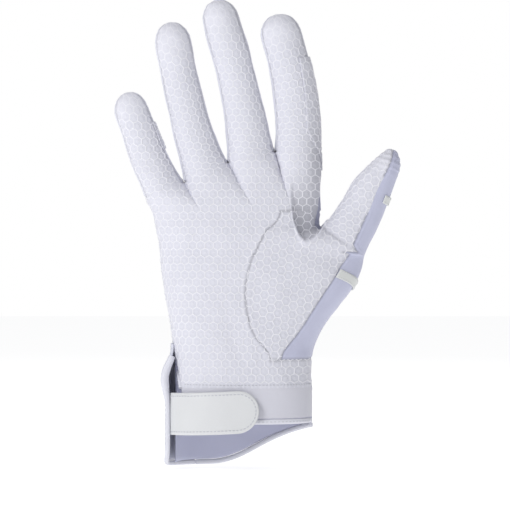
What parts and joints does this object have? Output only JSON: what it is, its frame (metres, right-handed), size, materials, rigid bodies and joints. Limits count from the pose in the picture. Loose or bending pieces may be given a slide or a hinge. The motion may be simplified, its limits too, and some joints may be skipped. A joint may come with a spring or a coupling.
{
  "type": "thin grip glove",
  "caption": "Thin right-hand sports glove with a honeycomb grip palm, smooth stretch back, jointed finger stalls and a strap closure at the wrist.",
  "frame": {"origin": "centre of the wrist opening, at the height of the palm cuff's lower edge", "axes": "+Z towards the fingertips, palm faces -Y, thumb at +X; the glove stands as it is worn, hand upright"},
  "size_m": [0.1421, 0.0499, 0.2338],
  "materials": {
    "grip_fabric": "knitted fabric with a raised white honeycomb silicone print",
    "back_fabric": "smooth stretch fabric with a soft sheen",
    "side_fabric": "fine knitted fabric",
    "elastic": "smooth covered elastic",
    "binding": "rolled stretch tape",
    "strap": "smooth off-white synthetic leather, stitched edge",
    "bar": "off-white synthetic leather strip",
    "loop": "brushed loop pile",
    "hook": "moulded hook tape"
  },
  "bodies": {
    "hand": {"palm_panel": "grip_fabric", "thumb_heel_grip": "grip_fabric", "thumb_heel_side": "back_fabric", "back_panel": "back_fabric", "elastic_band": "elastic", "cuff_binding": "binding", "hem_binding": "binding", "slit_binding": "binding", "cuff_flap": "back_fabric", "flap_binding": "binding", "loop_pad": "loop", "strap_root": "strap", "thumb_bar_lower": "bar"},
    "strap": {"wrist_strap": "strap", "hook_pad": "hook"},
    "little_lower": {"little_grip_lower": "grip_fabric", "little_back_lower": "back_fabric", "little_sides_lower": "side_fabric"},
    "little_middle": {"little_grip_middle": "grip_fabric", "little_back_middle": "back_fabric", "little_sides_middle": "side_fabric", "little_patch": "grip_fabric"},
    "little_tip": {"little_grip_tip": "grip_fabric", "little_back_tip": "back_fabric", "little_sides_tip": "side_fabric"},
    "ring_lower": {"ring_grip_lower": "grip_fabric", "ring_back_lower": "back_fabric", "ring_sides_lower": "side_fabric"},
    "ring_middle": {"ring_grip_middle": "grip_fabric", "ring_back_middle": "back_fabric", "ring_sides_middle": "side_fabric"},
    "ring_tip": {"ring_grip_tip": "grip_fabric", "ring_back_tip": "back_fabric", "ring_sides_tip": "side_fabric"},
    "middle_lower": {"middle_grip_lower": "grip_fabric", "middle_back_lower": "back_fabric", "middle_sides_lower": "side_fabric"},
    "middle_middle": {"middle_grip_middle": "grip_fabric", "middle_back_middle": "back_fabric", "middle_sides_middle": "side_fabric"},
    "middle_tip": {"middle_grip_tip": "grip_fabric", "middle_back_tip": "back_fabric", "middle_sides_tip": "side_fabric"},
    "index_lower": {"index_grip_lower": "grip_fabric", "index_back_lower": "back_fabric", "index_sides_lower": "side_fabric", "index_patch_lower": "grip_fabric"},
    "index_middle": {"index_grip_middle": "grip_fabric", "index_back_middle": "back_fabric", "index_sides_middle": "side_fabric", "index_patch_middle": "grip_fabric"},
    "index_tip": {"index_grip_tip": "grip_fabric", "index_back_tip": "back_fabric", "index_sides_tip": "side_fabric"},
    "thumb_lower": {"thumb_grip_lower": "grip_fabric", "thumb_back_lower": "back_fabric"},
    "thumb_tip": {"thumb_grip_tip": "grip_fabric", "thumb_back_tip": "back_fabric", "thumb_bar_upper": "bar"}
  },
  "joints": [
    {"name": "little_knuckle", "type": "hinge", "parent": "hand", "child": "little_lower", "pos_m": [-0.04239, -0.0099, 0.1142], "axis": [0.8867, -0.2924, 0.3582], "range_deg": [0, 65]},
    {"name": "little_middle_joint", "type": "hinge", "parent": "little_lower", "child": "little_middle", "pos_m": [-0.04855, -0.00816, 0.13136], "axis": [0.9127, -0.1392, 0.3842], "range_deg": [0, 80]},
    {"name": "little_end_joint", "type": "hinge", "parent": "little_middle", "child": "little_tip", "pos_m": [-0.05415, -0.00718, 0.14633], "axis": [0.9339, -0.1392, 0.3293], "range_deg": [0, 48]},
    {"name": "ring_knuckle", "type": "hinge", "parent": "hand", "child": "ring_lower", "pos_m": [-0.02109, -0.01086, 0.12341], "axis": [0.8843, -0.2079, 0.418], "range_deg": [0, 65]},
    {"name": "ring_middle_joint", "type": "hinge", "parent": "ring_lower", "child": "ring_middle", "pos_m": [-0.02707, -0.00862, 0.14779], "axis": [0.9622, -0.0872, 0.2579], "range_deg": [0, 80]},
    {"name": "ring_end_joint", "type": "hinge", "parent": "ring_middle", "child": "ring_tip", "pos_m": [-0.0327, -0.00761, 0.17196], "axis": [0.9751, -0.0872, 0.2037], "range_deg": [0, 48]},
    {"name": "middle_knuckle", "type": "hinge", "parent": "hand", "child": "middle_lower", "pos_m": [0.00341, -0.01105, 0.13236], "axis": [0.971, -0.0175, 0.2385], "range_deg": [0, 65]},
    {"name": "middle_middle_joint", "type": "hinge", "parent": "middle_lower", "child": "middle_middle", "pos_m": [-0.00042, -0.0089, 0.15775], "axis": [0.9798, 0, 0.2001], "range_deg": [0, 80]},
    {"name": "middle_end_joint", "type": "hinge", "parent": "middle_middle", "child": "middle_tip", "pos_m": [-0.0064, -0.00788, 0.1828], "axis": [0.9655, 0, 0.2604], "range_deg": [0, 48]},
    {"name": "index_knuckle", "type": "hinge", "parent": "hand", "child": "index_lower", "pos_m": [0.02955, -0.01081, 0.1353], "axis": [0.9744, 0.225, 0], "range_deg": [0, 65]},
    {"name": "index_middle_joint", "type": "hinge", "parent": "index_lower", "child": "index_middle", "pos_m": [0.02712, -0.00964, 0.15807], "axis": [0.9873, 0.1045, 0.1196], "range_deg": [0, 80]},
    {"name": "index_end_joint", "type": "hinge", "parent": "index_middle", "child": "index_tip", "pos_m": [0.02305, -0.00862, 0.18011], "axis": [0.969, 0.1045, 0.224], "range_deg": [0, 48]},
    {"name": "thumb_knuckle", "type": "hinge", "parent": "hand", "child": "thumb_lower", "pos_m": [0.0475, -0.01169, 0.09047], "axis": [0.8106, -0.1736, -0.5592], "range_deg": [0, 45]},
    {"name": "thumb_end_joint", "type": "hinge", "parent": "thumb_lower", "child": "thumb_tip", "pos_m": [0.06032, -0.00924, 0.11136], "axis": [0.8954, -0.1736, -0.4099], "range_deg": [0, 60]},
    {"name": "strap_fold", "type": "hinge", "parent": "hand", "child": "strap", "pos_m": [-0.0358, -0.01094, 0.0045], "axis": [0, 0, -1], "range_deg": [0, 110]}
  ],
  "couplings": [
    {"joint": "little_end_joint", "follows": "little_middle_joint", "ratio": 0.6},
    {"joint": "ring_end_joint", "follows": "ring_middle_joint", "ratio": 0.6},
    {"joint": "middle_end_joint", "follows": "middle_middle_joint", "ratio": 0.6},
    {"joint": "index_end_joint", "follows": "index_middle_joint", "ratio": 0.6}
  ]
}
